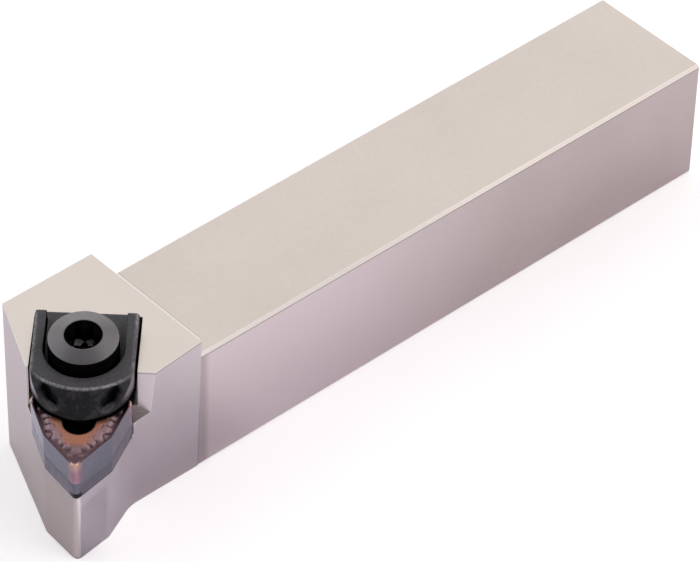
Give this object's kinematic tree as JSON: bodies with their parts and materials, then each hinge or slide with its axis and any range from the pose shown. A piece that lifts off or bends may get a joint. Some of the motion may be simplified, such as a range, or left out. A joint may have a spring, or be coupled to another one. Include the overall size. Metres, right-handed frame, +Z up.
{
  "type": "turning tool holder",
  "caption": "Right-hand external turning tool holder: square shank, flared head, trigon insert on a shim, hooked forged clamp with a wide-headed screw.",
  "frame": {"origin": "on the shank's bottom seating face, on the shank's centre line, where the head begins", "axes": "+X along the shank towards the head and its cutting nose, +Y towards the cutting side, +Z up from the seating face"},
  "size_m": [0.1499, 0.0344, 0.0351],
  "materials": {
    "nickel_steel": "satin nickel plating",
    "shim_carbide": "ground",
    "dark_steel": "forged and blackened",
    "coated_carbide": "copper-brown coated carbide",
    "screw_steel": "turned and blackened",
    "spring_steel": "drawn wire"
  },
  "bodies": {
    "holder": {"holder_body": "nickel_steel", "shim": "shim_carbide", "shim_screw": "dark_steel", "cutting_insert": "coated_carbide", "clamp_spring": "spring_steel"},
    "clamp": {"top_clamp": "dark_steel"},
    "screw": {"clamp_screw": "screw_steel"}
  },
  "joints": [
    {"name": "clamp_lift", "type": "slide", "parent": "holder", "child": "clamp", "axis": [0.0687, 0.0717, 0.9951], "range_m": [0, 0.003], "deforming": ["clamp_spring"]},
    {"name": "screw_turn", "type": "hinge", "parent": "clamp", "child": "screw", "pos_m": [0.01677, 0.00359, 0.0272], "axis": [0.0687, 0.0717, 0.9951], "range_deg": [0, 1080]}
  ],
  "couplings": [
    {"joint": "screw_turn", "follows": "clamp_lift", "rad_per_m": 6280}
  ]
}
